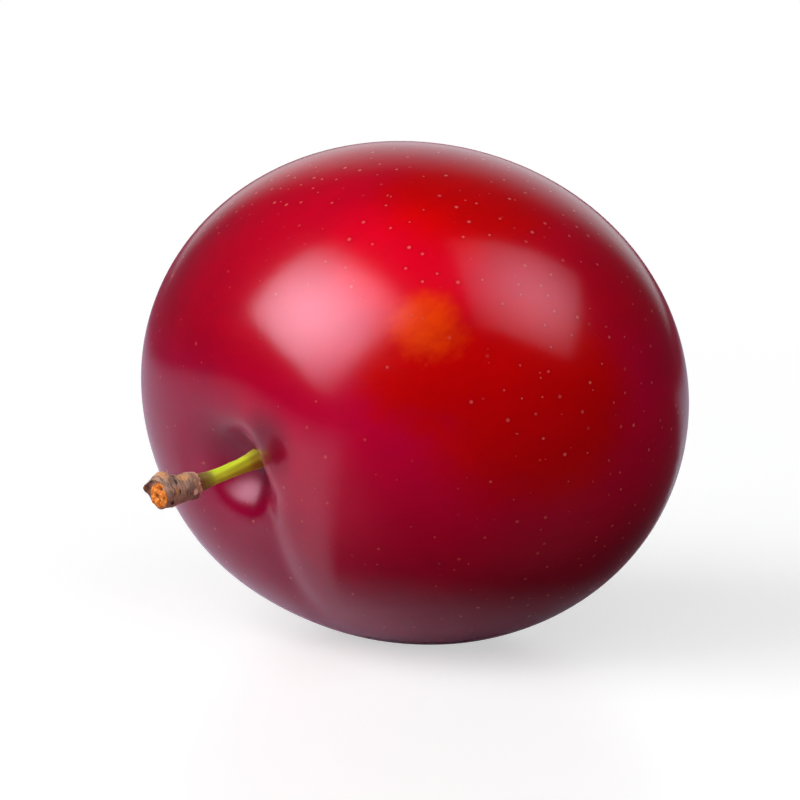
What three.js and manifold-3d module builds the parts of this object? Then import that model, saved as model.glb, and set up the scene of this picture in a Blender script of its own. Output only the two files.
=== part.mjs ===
// A ripe red plum, picked with its stem and a stub of the spur that it grew on. It lies on its side,
// suture down, on a small flat spot, with the stem end towards -Y and a little below level.
//
// Millimetres, +Z up. The origin is the middle of the flat spot. Three bodies: the fruit, the green
// stem that stands in the fruit's stem cavity, and the woody stub at the stem's far end.
//
// The fruit's own frame has its centre at the origin, +X to a cheek, +Y to the stem end and +Z to
// the suture. layDown() turns that frame as the plum lies.
import * as THREE from "three";
import { mergeVertices } from "three/addons/utils/BufferGeometryUtils.js";
import Module from "manifold-3d";

// ---- Driving dimensions: the fruit ----
const CHEEK_WIDTH = 57.6; // across the two cheeks
const SUTURE_WIDTH = 48.2; // from the suture to the back
const FRUIT_LENGTH = 47.2; // from the stem end to the blossom end, before the cavity is pressed in
const STEM_DIP = 9; // degrees that the stem end points below level
const FLAT_DEPTH = 0.65; // how much of the underside the flat spot takes off

// The stem cavity: a wide shallow bowl with a steep funnel in it, a little to one side of the pole.
const CAVITY = { x: -3, z: 1.2 };
const BOWL = { width: 8, depth: 1.6 };
const FUNNEL = { width: 3.2, depth: 3.2, steepness: 2.3 };
// It is wider towards the suture, the back and the -X cheek than towards the +X cheek, by these shares.
const CAVITY_STRETCH = { toSuture: 1.3, toBack: 1.15, toCheek: 1.6 };
const BLOSSOM_TIP = { width: 1.8, depth: 0.45 };

// The suture: a crease in a broader valley. It leaves the cavity and fades before the flat spot,
// then shows again towards the blossom end.
const SUTURE_X = -0.2;
const CREASE = { width: 2, depth: 0.35 };
const VALLEY = { width: 6, depth: 0.6 };
const FADE_OUT = { from: 24, to: 62 }; // degrees from the stem end
const FADE_IN = { from: 118, to: 160, share: 0.45 };

// Swellings and flats that keep the fruit from being a plain ellipsoid: the place on it, as shares
// towards the cheek, the stem end and the suture, and how far the skin there moves out.
const SWELLINGS = [
  { towards: [-0.45, 0.75, 0.5], width: 9, out: 0.35 },
  { towards: [0.8, 0.35, -0.5], width: 13, out: 0.3 },
  { towards: [-0.75, -0.4, -0.5], width: 14, out: 0.35 },
  { towards: [0.15, 0.1, -1], width: 12, out: -0.25 },
  { towards: [0.6, -0.75, 0.3], width: 12, out: -0.3 },
];

// ---- Driving dimensions: the stem and its stub ----
const SOCKET_RADIUS = 1.45; // the pit in the cavity's floor that the stem's foot stands in
const SOCKET_DEPTH = 1.2;
const STEM_LENGTH = 9.1; // the green part, from the socket's floor
const STUB_LENGTH = 4;
const STEM_SWING = 10; // degrees that the far end turns away from the fruit's axis, towards -X
const STEM_LIFT = 1.5; // degrees that it turns up
const CLEARANCE = 0.3; // left free wherever two of the bodies meet

// Pairs of radius and distance from the foot, and for the stub from its collar.
const STEM_OUTLINE = [
  [1.08, 0],
  [0.98, 1],
  [0.8, 2.3],
  [0.71, 4.6],
  [0.73, 6.8],
  [0.88, 8.3],
  [1.02, 9.1],
];
const STUB_OUTLINE = [
  [1.18, 0],
  [1.33, 0.35],
  [1.26, 0.9],
  [1.24, 1.7],
  [1.28, 2.5],
  [1.34, 3.3],
  [1.28, 4],
];
const STUB_FACE_DISH = 0.4; // how deep the broken end is hollowed
// What stands out of the stub: degrees round it, distance along it, size. First a bud and the
// scale beside it, then old scars.
const STUB_KNOBS = [
  { angle: 222, along: 2.9, width: 1.05, height: 0.85 },
  { angle: 255, along: 3.8, width: 0.5, height: 0.4 },
  { angle: 70, along: 1.5, width: 0.8, height: 0.16 },
  { angle: 330, along: 2.6, width: 0.9, height: 0.25 },
  { angle: 150, along: 0.9, width: 0.7, height: 0.12 },
];

// ---- Mesh fineness ----
const FRUIT_MERIDIANS = 72;
const FRUIT_RINGS = 42;
const RING_CROWDING = 1.35; // above 1, the rings lie closer together towards the cavity
const SOCKET_SIDES = 24;
const STEM_SIDES = 16;
const STEM_STEPS = 24;
const STUB_SIDES = 20;
const STUB_STEPS = 16;

const HALF_CHEEK = CHEEK_WIDTH / 2;
const HALF_SUTURE = SUTURE_WIDTH / 2;
const HALF_LENGTH = FRUIT_LENGTH / 2;
const { degToRad, radToDeg, smoothstep, clamp } = THREE.MathUtils;

const wasm = await Module();
wasm.setup();

/** A bell curve: 1 at distance 0, and almost nothing past twice the width. */
function bell(distance, width, steepness = 2) {
  return Math.exp(-((Math.abs(distance) / width) ** steepness));
}

/** Calls move(point) on every vertex of a geometry and stores the point again. */
function eachVertex(geometry, move) {
  const positions = geometry.getAttribute("position");
  const point = new THREE.Vector3();
  for (let i = 0; i < positions.count; i += 1) {
    move(point.fromBufferAttribute(positions, i));
    positions.setXYZ(i, point.x, point.y, point.z);
  }
  return geometry;
}

/** A closed geometry as a solid that can be cut. */
function toSolid(geometry) {
  const bare = geometry.clone();
  bare.deleteAttribute("normal");
  bare.deleteAttribute("uv");
  const merged = mergeVertices(bare);
  const corners = merged.getIndex().array;
  const triangles = [];
  for (let i = 0; i < corners.length; i += 3) {
    const [a, b, c] = corners.slice(i, i + 3);
    if (a !== b && b !== c && c !== a) triangles.push(a, b, c);
  }
  const vertProperties = new Float32Array(merged.getAttribute("position").array);
  const triVerts = new Uint32Array(triangles);
  return new wasm.Manifold(new wasm.Mesh({ numProp: 3, vertProperties, triVerts }));
}

/** The cut solid as a geometry again. */
function toGeometry(solid) {
  const { vertProperties, triVerts } = solid.getMesh();
  const geometry = new THREE.BufferGeometry();
  geometry.setAttribute("position", new THREE.BufferAttribute(vertProperties, 3));
  geometry.setIndex(new THREE.BufferAttribute(triVerts, 1));
  geometry.computeVertexNormals();
  return geometry;
}

/** A place on the plain ellipsoid. */
function onEllipsoid(towards) {
  const [cheek, stem, suture] = new THREE.Vector3(...towards).normalize().toArray();
  return new THREE.Vector3(cheek * HALF_CHEEK, stem * HALF_LENGTH, suture * HALF_SUTURE);
}

/** The fold's cross section. */
function foldDepth(distance) {
  return CREASE.depth * bell(distance, CREASE.width) + VALLEY.depth * bell(distance, VALLEY.width);
}

/** How deep the suture is folded in at a point of the ellipsoid. */
function sutureDepth(point) {
  const angle = radToDeg(Math.acos(clamp(point.y / HALF_LENGTH, -1, 1)));
  const fadeOut = 1 - smoothstep(angle, FADE_OUT.from, FADE_OUT.to);
  const fadeIn = FADE_IN.share * smoothstep(angle, FADE_IN.from, FADE_IN.to);
  return (fadeOut + fadeIn) * foldDepth(point.x - SUTURE_X) * smoothstep(point.z, 0, 4);
}

/** How far the stem cavity is pressed in at a point, by its distance from the cavity's middle. */
function cavityDepth(point) {
  const across = point.x - CAVITY.x;
  const along = point.z - CAVITY.z;
  const width = across < 0 ? CAVITY_STRETCH.toCheek : 1;
  const length = along > 0 ? CAVITY_STRETCH.toSuture : CAVITY_STRETCH.toBack;
  const distance = Math.hypot(across / width, along / length);
  const funnel = FUNNEL.depth * bell(distance, FUNNEL.width, FUNNEL.steepness);
  return BOWL.depth * bell(distance, BOWL.width) + funnel;
}

/** Moves a point of the unit sphere to its place on the fruit's skin. */
function toSkin(point) {
  point.set(point.x * HALF_CHEEK, point.y * HALF_LENGTH, point.z * HALF_SUTURE);
  let rise = -sutureDepth(point);
  for (const { towards, width, out } of SWELLINGS) {
    rise += out * bell(point.distanceTo(onEllipsoid(towards)), width);
  }
  const { y } = point;
  point.addScaledVector(point.clone().normalize(), rise);
  if (y > 0) {
    point.y -= cavityDepth(point);
  } else {
    point.y -= BLOSSOM_TIP.depth * bell(Math.hypot(point.x, point.z), BLOSSOM_TIP.width);
  }
}

/** The unit sphere that the fruit is shaped from: a half circle of rings, turned round the stem. */
function unitFruit() {
  const outline = [];
  for (let ring = FRUIT_RINGS; ring >= 0; ring -= 1) {
    const angle = Math.PI * (ring / FRUIT_RINGS) ** RING_CROWDING;
    const onAxis = ring === 0 || ring === FRUIT_RINGS;
    outline.push(new THREE.Vector2(onAxis ? 0 : Math.sin(angle), Math.cos(angle)));
  }
  return new THREE.LatheGeometry(outline, FRUIT_MERIDIANS);
}

/** Height of the cavity's floor over the fruit's centre. */
function cavityFloor() {
  return HALF_LENGTH - BOWL.depth - FUNNEL.depth;
}

/** The round pit that the stem's foot stands in. */
function socketGeometry() {
  const height = SOCKET_DEPTH * 4;
  const pit = new THREE.CylinderGeometry(SOCKET_RADIUS, SOCKET_RADIUS, height, SOCKET_SIDES);
  return pit.translate(CAVITY.x, cavityFloor() - SOCKET_DEPTH + height / 2, CAVITY.z);
}

/** Height of the fruit's centre over the surface: its reach downwards, less the flat spot. */
function restingHeight() {
  const dip = degToRad(STEM_DIP);
  return Math.hypot(HALF_SUTURE * Math.cos(dip), HALF_LENGTH * Math.sin(dip)) - FLAT_DEPTH;
}

/** How far the lowest point of the tilted fruit lies from under its centre. */
function contactOffset() {
  const dip = degToRad(STEM_DIP);
  const spread = HALF_SUTURE ** 2 - HALF_LENGTH ** 2;
  return (spread * Math.sin(dip) * Math.cos(dip)) / (restingHeight() + FLAT_DEPTH);
}

/** The turn and shift from the fruit's own frame to the plum as it lies. */
function layDown() {
  const turned = new THREE.Matrix4().makeRotationX(degToRad(180 + STEM_DIP));
  return turned.setPosition(0, -contactOffset(), restingHeight());
}

/** The fruit as it lies, with the socket cut in and the flat spot cut off. */
function fruitGeometry() {
  const whole = toSolid(eachVertex(unitFruit(), toSkin).applyMatrix4(layDown()));
  const socket = toSolid(socketGeometry().applyMatrix4(layDown()));
  const surface = new THREE.BoxGeometry(CHEEK_WIDTH, CHEEK_WIDTH, 10).translate(0, 0, -5);
  return toGeometry(whole.subtract(socket).subtract(toSolid(surface)));
}

/** A smooth outline through [radius, distance] pairs, closed on the axis at both ends. */
function closedOutline(pairs, steps, dish) {
  const spline = new THREE.SplineCurve(pairs.map((pair) => new THREE.Vector2(...pair)));
  const [endRadius, length] = pairs[pairs.length - 1];
  return [
    new THREE.Vector2(0, 0),
    new THREE.Vector2(pairs[0][0] / 2, 0),
    ...spline.getPoints(steps),
    new THREE.Vector2(endRadius * 0.7, length - dish * 0.4),
    new THREE.Vector2(endRadius * 0.35, length - dish),
    new THREE.Vector2(0, length - dish),
  ];
}

/** The line that stem and stub follow: straight out of the socket, then a slow bend. */
function stemLine() {
  const length = STEM_LENGTH + CLEARANCE + STUB_LENGTH;
  const foot = new THREE.Vector3(CAVITY.x, cavityFloor() - SOCKET_DEPTH + CLEARANCE, CAVITY.z);
  const swing = Math.tan(degToRad(STEM_SWING));
  const lift = Math.tan(degToRad(STEM_LIFT));
  const endDirection = new THREE.Vector3(-swing, 1, -lift).normalize();
  const straight = foot.clone().add(new THREE.Vector3(0, length * 0.42, 0));
  const bend = foot.clone().add(new THREE.Vector3(0, length * 0.62, 0));
  const end = bend.clone().addScaledVector(endDirection, length * 0.38);
  return { line: new THREE.CubicBezierCurve3(foot, straight, bend, end), length };
}

/** Bends a lathed piece that stands on +Y along the stem's line, from a distance on. */
function followLine(geometry, fromDistance) {
  const { line, length } = stemLine();
  const sideways = new THREE.Vector3(1, 0, 0);
  return eachVertex(geometry, (point) => {
    const share = clamp((fromDistance + point.y) / length, 0, 1);
    const along = line.getTangentAt(share);
    const side = sideways.clone().addScaledVector(along, -along.dot(sideways)).normalize();
    const other = new THREE.Vector3().crossVectors(side, along);
    const { x, z } = point;
    point.copy(line.getPointAt(share)).addScaledVector(side, x).addScaledVector(other, z);
  });
}

/** The green stem, a little thicker at its foot and at the joint with the stub. */
function stemGeometry() {
  const outline = closedOutline(STEM_OUTLINE, STEM_STEPS, 0);
  return followLine(new THREE.LatheGeometry(outline, STEM_SIDES), 0).applyMatrix4(layDown());
}

/** How far the stub's knobs stand out at an angle round it and a distance along it. */
function knobHeight(angle, along) {
  let height = 0;
  for (const knob of STUB_KNOBS) {
    const turn = angle - degToRad(knob.angle);
    const round = Math.atan2(Math.sin(turn), Math.cos(turn)) * STUB_OUTLINE[0][0];
    height += knob.height * bell(Math.hypot(round, along - knob.along), knob.width);
  }
  return height;
}

/** The stub: a knobbly bark-covered peg with a hollowed, broken end. */
function stubGeometry() {
  const outline = closedOutline(STUB_OUTLINE, STUB_STEPS, STUB_FACE_DISH);
  const peg = new THREE.LatheGeometry(outline, STUB_SIDES);
  eachVertex(peg, (point) => {
    const height = knobHeight(Math.atan2(point.x, point.z), point.y);
    const swell = 1 + (height * Math.hypot(point.x, point.z)) / STUB_OUTLINE[0][0] ** 2;
    point.set(point.x * swell, point.y, point.z * swell);
  });
  return followLine(peg, STEM_LENGTH + CLEARANCE).applyMatrix4(layDown());
}

const skin = new THREE.MeshStandardMaterial({ color: 0xa80a22, roughness: 0.28, metalness: 0 });
const stemGreen = new THREE.MeshStandardMaterial({ color: 0x98a02c, roughness: 0.55, metalness: 0 });
const bark = new THREE.MeshStandardMaterial({ color: 0x7f6650, roughness: 0.9, metalness: 0 });

/** A named mesh of the plum. */
function body(name, geometry, material) {
  const mesh = new THREE.Mesh(geometry, material);
  mesh.name = name;
  return mesh;
}

const plum = new THREE.Group();
plum.name = "plum";
plum.add(body("fruit", fruitGeometry(), skin));
plum.add(body("stem", stemGeometry(), stemGreen));
plum.add(body("spur_stub", stubGeometry(), bark));

export default plum;
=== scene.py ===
"""The looks of a ripe red plum that lies on its side, with its stem and the stub of a spur.

The fruit's skin, the green stem, the bark of the spur stub, its broken wood, the scar round the
joint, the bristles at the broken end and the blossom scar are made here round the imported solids.
Lengths in the classes are millimetres in the fruit's own frame: centre at the origin, +X to a cheek,
+Y to the stem end and +Z to the suture. Fruit.to_row turns that frame as the plum lies, in metres.
"""
import logging
import math
from collections.abc import Mapping, Sequence
from dataclasses import dataclass, field
from enum import Enum
from typing import Any

import bpy
import numpy as np
from mathutils import Euler, Matrix, Vector, noise


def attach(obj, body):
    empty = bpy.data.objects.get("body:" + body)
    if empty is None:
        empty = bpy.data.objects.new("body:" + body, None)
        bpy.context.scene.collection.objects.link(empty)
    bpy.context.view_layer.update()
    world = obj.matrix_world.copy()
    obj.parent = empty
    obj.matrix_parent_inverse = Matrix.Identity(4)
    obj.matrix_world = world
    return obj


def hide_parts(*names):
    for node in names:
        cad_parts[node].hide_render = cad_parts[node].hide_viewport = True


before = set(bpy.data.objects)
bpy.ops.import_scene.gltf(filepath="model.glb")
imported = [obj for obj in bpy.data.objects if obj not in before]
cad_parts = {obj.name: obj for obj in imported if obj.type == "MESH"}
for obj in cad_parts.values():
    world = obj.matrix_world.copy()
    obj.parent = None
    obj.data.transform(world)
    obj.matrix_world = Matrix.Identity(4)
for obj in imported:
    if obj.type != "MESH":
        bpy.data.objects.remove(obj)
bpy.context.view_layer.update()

LOG = logging.getLogger("plum")
MM = 0.001
BODY = "root"

STEM_LENGTH = 9.1
STUB_LENGTH = 4.0
SOCKET_DEPTH = 1.2
CLEARANCE = 0.3

Colour = tuple[float, float, float]
Place = tuple[float, float, float]
Span = tuple[float, float]
WHITE: Colour = (1.0, 1.0, 1.0)


# ---------------------------------------------------------------------------------------------
# Shader maths
# ---------------------------------------------------------------------------------------------
class Signal:
    """An output socket that takes part in Python arithmetic; each operator adds a Math node."""

    def __init__(self, tree: "ShaderTree", socket: bpy.types.NodeSocket) -> None:
        """Wraps a socket of the tree."""
        self.tree = tree
        self.socket = socket

    def _math(self, operation: str, *values: Any) -> "Signal":
        """Adds a Math node on the values."""
        return self.tree.node("ShaderNodeMath", {"operation": operation}, dict(enumerate(values)))

    def __add__(self, other: Any) -> "Signal":
        """self + other."""
        return self._math("ADD", self, other)

    def __sub__(self, other: Any) -> "Signal":
        """self - other."""
        return self._math("SUBTRACT", self, other)

    def __rsub__(self, other: Any) -> "Signal":
        """other - self."""
        return self._math("SUBTRACT", other, self)

    def __mul__(self, other: Any) -> "Signal":
        """self * other."""
        return self._math("MULTIPLY", self, other)

    def __truediv__(self, other: Any) -> "Signal":
        """self / other."""
        return self._math("DIVIDE", self, other)

    def __abs__(self) -> "Signal":
        """abs(self)."""
        return self._math("ABSOLUTE", self)

    def clipped(self) -> "Signal":
        """The value held between 0 and 1."""
        return self._math("MINIMUM", self._math("MAXIMUM", self, 0.0), 1.0)

    def most(self, other: Any) -> "Signal":
        """The larger of two values."""
        return self._math("MAXIMUM", self, other)

    def step(self, low: float, high: float) -> "Signal":
        """A smooth step, from 0 at low to 1 at high, or from 1 to 0 where high is below low.

        Args:
            low: The value where the step starts.
            high: The value where it ends.

        Returns:
            The step, between 0 and 1.
        """
        rising = low < high
        settings = {"interpolation_type": "SMOOTHSTEP"}
        ends = {1: low, 2: high, 3: 0.0, 4: 1.0} if rising else {1: high, 2: low, 3: 1.0, 4: 0.0}
        return self.tree.node("ShaderNodeMapRange", settings, {0: self, **ends})

    def bell(self, middle: float, width: float) -> "Signal":
        """A bell curve over this value: 1 at the middle and almost 0 past twice the width."""
        share = (self - middle) / width
        return self._math("EXPONENT", share * share * -1.0)


class ShaderTree:
    """The node tree of one material or world."""

    def __init__(self, tree: bpy.types.NodeTree) -> None:
        """Empties the tree."""
        self.tree = tree
        tree.nodes.clear()

    def node(
        self, kind: str, settings: Mapping[str, Any], sockets: Mapping[Any, Any], output: Any = 0
    ) -> Signal:
        """Adds a node.

        Args:
            kind: The node's type.
            settings: Its properties, set before its sockets. A ramp's "stops" are pairs of a
                position and a colour.
            sockets: A value or a Signal for each input socket, by name or number.
            output: The name or number of the output to return.

        Returns:
            The chosen output.
        """
        made = self.tree.nodes.new(kind)
        for name, value in settings.items():
            if name == "stops":
                self._fill_ramp(made.color_ramp, value)
            else:
                setattr(made, name, value)
        for name, value in sockets.items():
            self._feed(made.inputs[name], value)
        return Signal(self, made.outputs[output]) if made.outputs else None

    def _feed(self, socket: bpy.types.NodeSocket, value: Any) -> None:
        """Links a Signal to a socket, or sets the socket's own value."""
        if isinstance(value, Signal):
            self.tree.links.new(value.socket, socket)
        elif socket.type == "RGBA" and len(value) == 3:
            socket.default_value = (*value, 1.0)
        else:
            socket.default_value = value

    @staticmethod
    def _fill_ramp(ramp: bpy.types.ColorRamp, stops: Sequence[tuple[float, Colour]]) -> None:
        """Gives a colour ramp its stops."""
        while len(ramp.elements) < len(stops):
            ramp.elements.new(1.0)
        for element, (position, colour) in zip(ramp.elements, stops):
            element.position = position
            element.color = (*colour, 1.0)

    def mix(self, factor: Any, low: Any, high: Any, blend: str = "MIX") -> Signal:
        """Mixes two colours.

        Args:
            factor: The share of the second colour.
            low: The first colour.
            high: The second colour.
            blend: The Mix node's blend type.

        Returns:
            The mixed colour.
        """
        settings = {"data_type": "RGBA", "blend_type": blend, "clamp_factor": True}
        return self.node("ShaderNodeMix", settings, {0: factor, 6: low, 7: high}, 2)

    def vector(self, operation: str, first: Any, second: Any = None, scale: Any = None) -> Signal:
        """Adds a Vector Math node.

        Args:
            operation: The node's operation.
            first: The first vector.
            second: The second vector, if the operation takes one.
            scale: The factor of a SCALE operation.

        Returns:
            The vector, or the value where the operation gives one.
        """
        sockets: dict[Any, Any] = {0: first}
        if second is not None:
            sockets[1] = second
        if scale is not None:
            sockets["Scale"] = scale
        gives_value = operation in {"LENGTH", "DISTANCE", "DOT_PRODUCT"}
        return self.node(
            "ShaderNodeVectorMath", {"operation": operation}, sockets, 1 if gives_value else 0
        )

    def join(self, x: Any, y: Any, z: Any) -> Signal:
        """A vector from three values."""
        return self.node("ShaderNodeCombineXYZ", {}, {0: x, 1: y, 2: z})

    def split(self, vector: Signal) -> tuple[Signal, Signal, Signal]:
        """The three values of a vector."""
        first = self.node("ShaderNodeSeparateXYZ", {}, {0: vector})
        outputs = first.socket.node.outputs
        return first, Signal(self, outputs[1]), Signal(self, outputs[2])

    def noise(self, at: Signal, scale: float, detail: float = 2.0, roughness: float = 0.5) -> Signal:
        """A noise value, about 0 to 1 with its middle at 0.5.

        Args:
            at: The position.
            scale: Waves for each unit of the position.
            detail: Octaves of finer noise.
            roughness: How strong the finer octaves are.

        Returns:
            The noise.
        """
        sockets = {"Vector": at, "Scale": scale, "Detail": detail, "Roughness": roughness}
        return self.node("ShaderNodeTexNoise", {}, sockets)

    def bump(self, height: Signal, distance: float, strength: float = 1.0, below: Any = None) -> Signal:
        """A bumped normal.

        Args:
            height: The height, in units of the distance.
            distance: The height that a value of 1 stands for, in metres.
            strength: The node's strength.
            below: The normal that the bump is laid on, if any.

        Returns:
            The normal.
        """
        sockets = {"Strength": strength, "Distance": distance, "Height": height}
        if below is not None:
            sockets["Normal"] = below
        return self.node("ShaderNodeBump", {}, sockets)


class Material:
    """A material under construction."""

    def __init__(self, name: str) -> None:
        """Starts an empty material."""
        self.data = bpy.data.materials.new(name)
        self.data.use_nodes = True
        self.tree = ShaderTree(self.data.node_tree)

    def millimetres(self) -> Signal:
        """The object's own coordinates, in millimetres."""
        place = self.tree.node("ShaderNodeTexCoord", {}, {}, "Object")
        return self.tree.vector("SCALE", place, scale=1.0 / MM)

    def attribute(self, name: str) -> Signal:
        """A vector that the mesh carries at each vertex."""
        settings = {"attribute_type": "GEOMETRY", "attribute_name": name}
        return self.tree.node("ShaderNodeAttribute", settings, {}, "Vector")

    def principled(self, sockets: Mapping[str, Any]) -> Signal:
        """A Principled shader with a value or a Signal for each socket that is set."""
        return self.tree.node("ShaderNodeBsdfPrincipled", {}, sockets)

    def close(self, shader: Signal) -> bpy.types.Material:
        """Closes the material with its shader."""
        self.tree.node("ShaderNodeOutputMaterial", {}, {"Surface": shader})
        return self.data

    def finish(self, sockets: Mapping[str, Any]) -> bpy.types.Material:
        """Closes the material with one Principled shader."""
        return self.close(self.principled(sockets))


# ---------------------------------------------------------------------------------------------
# Modelling helpers
# ---------------------------------------------------------------------------------------------
def select_only(piece: bpy.types.Object) -> None:
    """Makes a piece the only selected and the active object."""
    bpy.ops.object.select_all(action="DESELECT")
    piece.select_set(True)
    bpy.context.view_layer.objects.active = piece


def add_object(name: str, data: Any) -> bpy.types.Object:
    """Adds an object with a mesh, a camera or a light to the scene."""
    made = bpy.data.objects.new(name, data)
    bpy.context.scene.collection.objects.link(made)
    return made


def subdivide(piece: bpy.types.Object, cuts: int, smoothness: float = 0.0) -> None:
    """Cuts every edge of a piece."""
    select_only(piece)
    bpy.ops.object.mode_set(mode="EDIT")
    bpy.ops.mesh.select_all(action="SELECT")
    bpy.ops.mesh.subdivide(number_cuts=cuts, smoothness=smoothness)
    bpy.ops.object.mode_set(mode="OBJECT")


def vertices_of(piece: bpy.types.Object) -> np.ndarray:
    """The piece's vertices, one row each."""
    flat = np.empty(len(piece.data.vertices) * 3)
    piece.data.vertices.foreach_get("co", flat)
    return flat.reshape(-1, 3)


def move_vertices(piece: bpy.types.Object, places: np.ndarray) -> None:
    """Puts the piece's vertices in new places."""
    piece.data.vertices.foreach_set("co", np.ascontiguousarray(places, dtype=float).ravel())
    piece.data.update()


def shape(piece: bpy.types.Object, places: np.ndarray) -> bpy.types.Object:
    """Puts the piece's vertices in their last places and shades the piece smooth."""
    move_vertices(piece, places)
    select_only(piece)
    bpy.ops.object.shade_smooth()
    return piece


def carry(piece: bpy.types.Object, name: str, values: np.ndarray) -> None:
    """Stores a vector at each vertex of the piece, for its material to read."""
    layer = piece.data.attributes.new(name, "FLOAT_VECTOR", "POINT")
    layer.data.foreach_set("vector", np.ascontiguousarray(values, dtype=float).ravel())


def round_axis(pegs: np.ndarray) -> tuple[np.ndarray, np.ndarray]:
    """How far places are from the +Y axis, and their angles round it."""
    return np.hypot(pegs[:, 0], pegs[:, 2]), np.arctan2(pegs[:, 0], pegs[:, 2])


def outwards_at(degrees: float) -> np.ndarray:
    """The direction out of the +Y axis at an angle round it."""
    turned = math.radians(degrees)
    return np.array([math.sin(turned), 0.0, math.cos(turned)])


def on_circle(angle: np.ndarray) -> np.ndarray:
    """Places on a unit circle, for noise that runs round an edge without a seam."""
    return np.column_stack((np.sin(angle), np.cos(angle), np.zeros_like(angle)))


def widened(pegs: np.ndarray, share: np.ndarray) -> np.ndarray:
    """Places with their distances from the +Y axis multiplied by shares."""
    return pegs * np.column_stack((share, np.ones_like(share), share))


def bell(distance: np.ndarray, width: float, steepness: float = 2.0) -> np.ndarray:
    """A bell curve: 1 at distance 0, and almost nothing past twice the width."""
    return np.exp(-((np.abs(distance) / width) ** steepness))


def smooth_step(values: np.ndarray, low: float, high: float) -> np.ndarray:
    """A smooth step from 0 at low to 1 at high."""
    share = np.clip((values - low) / (high - low), 0.0, 1.0)
    return share * share * (3.0 - 2.0 * share)


def rough(places: np.ndarray, scale: float, seed: float, octaves: int = 1) -> np.ndarray:
    """Noise at each place, about -1 to 1.

    Args:
        places: The places, one row each.
        scale: Waves for each unit of length.
        seed: Which part of the endless noise is used.
        octaves: Octaves of finer noise on top.

    Returns:
        One value for each place.
    """
    offset = Vector((seed, seed * 1.7, seed * 2.3))
    return np.array(
        [noise.fractal(Vector(place) * scale + offset, 0.7, 2.0, octaves) for place in places]
    )


def spun(name: str, outline: Sequence[Span], sides: int, ring: bool = False) -> bpy.types.Object:
    """Spins an outline round +Y into a closed body.

    Args:
        name: The new piece's name.
        outline: Pairs of radius and height, from the bottom's middle to the top's middle, or round
            the section of a ring.
        sides: How many sides the body gets.
        ring: Whether the body is a ring.

    Returns:
        The body, with its normals pointing out.
    """
    mesh = bpy.data.meshes.new(name)
    points = [(radius, height, 0.0) for radius, height in outline]
    edges = [(i, i + 1) for i in range(len(points) - 1)]
    mesh.from_pydata(points, edges + [(len(points) - 1, 0)] * ring, [])
    piece = add_object(name, mesh)
    select_only(piece)
    bpy.ops.object.mode_set(mode="EDIT")
    bpy.ops.mesh.select_all(action="SELECT")
    bpy.ops.mesh.spin(
        steps=sides, angle=math.tau, use_auto_merge=True, center=(0.0, 0.0, 0.0), axis=(0.0, 1.0, 0.0)
    )
    bpy.ops.mesh.select_all(action="SELECT")
    bpy.ops.mesh.remove_doubles(threshold=1e-4)
    bpy.ops.mesh.normals_make_consistent(inside=False)
    bpy.ops.object.mode_set(mode="OBJECT")
    return piece


def smooth_outline(pairs: Sequence[Span], steps: int) -> list[Span]:
    """A smooth run through (radius, height) pairs, evenly spaced in height.

    Args:
        pairs: The pairs, by growing height.
        steps: How many spans the run gets.

    Returns:
        The pairs of the run.
    """
    radii = np.array([radius for radius, _ in pairs])
    heights = np.array([height for _, height in pairs])
    slopes = np.gradient(radii, heights)
    run = []
    for height in np.linspace(heights[0], heights[-1], steps + 1):
        i = min(int(np.searchsorted(heights, height, side="right")) - 1, len(pairs) - 2)
        span = heights[i + 1] - heights[i]
        t = (height - heights[i]) / span
        radius = (
            (2 * t**3 - 3 * t**2 + 1) * radii[i]
            + (t**3 - 2 * t**2 + t) * span * slopes[i]
            + (3 * t**2 - 2 * t**3) * radii[i + 1]
            + (t**3 - t**2) * span * slopes[i + 1]
        )
        run.append((float(radius), float(height)))
    return run


# ---------------------------------------------------------------------------------------------
# Finishes
# ---------------------------------------------------------------------------------------------
@dataclass(frozen=True)
class Side:
    """A side of the fruit that has a tint of its own.

    The tint starts where the cosine of the angle between the skin's direction and the side's
    reaches starts, and it is full where the cosine reaches full.
    """

    towards: Place
    starts: float
    full: float

    def nearness(self, tree: ShaderTree, facing: Signal, uneven: Signal) -> Signal:
        """How much of this side's tint the skin takes, with an uneven edge."""
        return (tree.vector("DOT_PRODUCT", facing, self.towards) + uneven).step(self.starts, self.full)


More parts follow.
